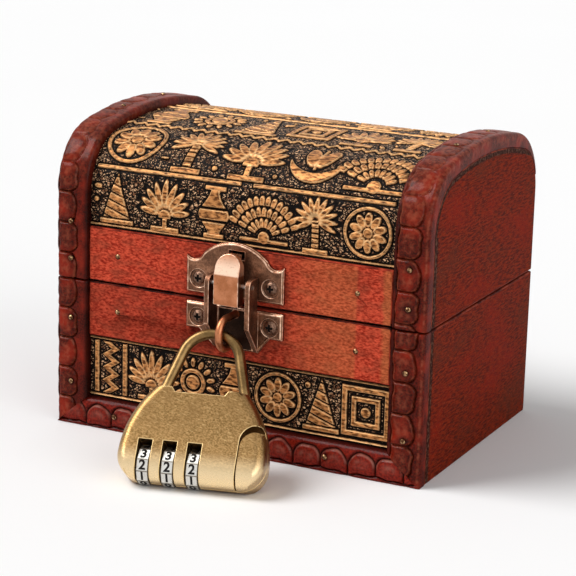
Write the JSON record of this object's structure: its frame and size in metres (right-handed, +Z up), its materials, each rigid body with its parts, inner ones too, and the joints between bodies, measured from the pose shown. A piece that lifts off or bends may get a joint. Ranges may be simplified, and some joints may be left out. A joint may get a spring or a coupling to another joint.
{
  "type": "treasure chest box",
  "caption": "Small wooden keepsake chest with a barrel lid, embossed covering, moulded trims, a sprung hasp and a dial padlock in its ring.",
  "frame": {"origin": "on the floor, under the middle of the wooden chest", "axes": "+Z up, front of the chest towards -Y, +X to the right seen from the front"},
  "size_m": [0.108, 0.1162, 0.0846],
  "materials": {
    "red_paint": "red paint rubbed through to the wood at the ends",
    "lacquered_panel": "red-brown lacquer over fine grain",
    "lacquered_trim": "carved, red-brown lacquer",
    "stained_wood": "brown stain, matt",
    "embossed_covering": "embossed, gold rubbed over a dark ground",
    "brass_brads": "polished heads",
    "aged_copper": "antique copper with bright edges",
    "bright_copper": "worn bright",
    "hinge_bronze": "antique bronze",
    "dark_screws": "bronzed steel",
    "lock_brass": "antique brass, brushed and mottled",
    "dial_metal": "nickelled, black digits",
    "spring_steel": "plain steel"
  },
  "bodies": {
    "base": {"base_floor": "stained_wood", "base_front_wall": "stained_wood", "base_back_wall": "stained_wood", "base_left_end": "lacquered_panel", "base_right_end": "lacquered_panel", "base_front_strip": "red_paint", "base_embossed_strip": "embossed_covering", "base_left_trim": "lacquered_trim", "base_right_trim": "lacquered_trim", "base_bottom_trim": "lacquered_trim", "base_brads": "brass_brads", "left_hinge_base_leaf": "hinge_bronze", "left_hinge_pin": "hinge_bronze", "right_hinge_base_leaf": "hinge_bronze", "right_hinge_pin": "hinge_bronze", "hinge_base_screws": "dark_screws", "hasp_base_plate": "aged_copper", "hasp_lever_pin": "spring_steel", "hasp_lever_spring": "spring_steel", "hasp_ring": "bright_copper", "hasp_base_screws": "dark_screws"},
    "lid": {"lid_left_end": "lacquered_panel", "lid_right_end": "lacquered_panel", "lid_front_wall": "stained_wood", "lid_back_wall": "stained_wood", "lid_shell": "stained_wood", "lid_leather": "embossed_covering", "lid_front_strip": "red_paint", "lid_left_trim": "lacquered_trim", "lid_right_trim": "lacquered_trim", "lid_brads": "brass_brads", "left_hinge_lid_leaf": "hinge_bronze", "right_hinge_lid_leaf": "hinge_bronze", "hinge_lid_screws": "dark_screws", "hasp_lid_plate": "aged_copper", "hasp_lid_screws": "dark_screws"},
    "lever": {"hasp_lever": "bright_copper"},
    "shackle": {"lock_shackle": "lock_brass"},
    "lock_body": {"lock_front_case": "lock_brass", "lock_rear_case": "lock_brass", "lock_shackle_pin": "spring_steel", "lock_dial_axle": "spring_steel", "lock_case_screws": "dark_screws"},
    "slider": {"lock_slider": "lock_brass", "lock_bolt": "spring_steel"},
    "left_dial": {"lock_left_dial": "dial_metal"},
    "middle_dial": {"lock_middle_dial": "dial_metal"},
    "right_dial": {"lock_right_dial": "dial_metal"}
  },
  "joints": [
    {"name": "lid_hinge", "type": "hinge", "parent": "base", "child": "lid", "pos_m": [0, 0.0398, 0.041], "axis": [-1, 0, 0], "range_deg": [0, 110]},
    {"name": "lever_pivot", "type": "hinge", "parent": "base", "child": "lever", "pos_m": [0.0008, -0.0412, 0.0472], "axis": [1, 0, 0], "range_deg": [-6, 12], "stiffness_Nm_per_rad": 0.02},
    {"name": "padlock_swing", "type": "hinge", "parent": "base", "child": "shackle", "pos_m": [0.0008, -0.04417, 0.03417], "axis": [-0.9686, -0.2487, 0], "range_deg": [-12, 60]},
    {"name": "padlock_release", "type": "hinge", "parent": "shackle", "child": "lock_body", "pos_m": [-0.00845, -0.05923, 0.0177], "axis": [-0.1994, 0.7766, -0.5976], "range_deg": [0, 35]},
    {"name": "slider_travel", "type": "slide", "parent": "lock_body", "child": "slider", "axis": [-0.1486, 0.5789, 0.8018], "range_m": [0, 0.0014]},
    {"name": "left_dial_turn", "type": "hinge", "parent": "lock_body", "child": "left_dial", "pos_m": [-0.00747, -0.06866, 0.00511], "axis": [0.9686, 0.2487, 0], "continuous": true},
    {"name": "middle_dial_turn", "type": "hinge", "parent": "lock_body", "child": "middle_dial", "pos_m": [-0.00127, -0.06707, 0.00511], "axis": [0.9686, 0.2487, 0], "continuous": true},
    {"name": "right_dial_turn", "type": "hinge", "parent": "lock_body", "child": "right_dial", "pos_m": [0.00493, -0.06548, 0.00511], "axis": [0.9686, 0.2487, 0], "continuous": true}
  ]
}
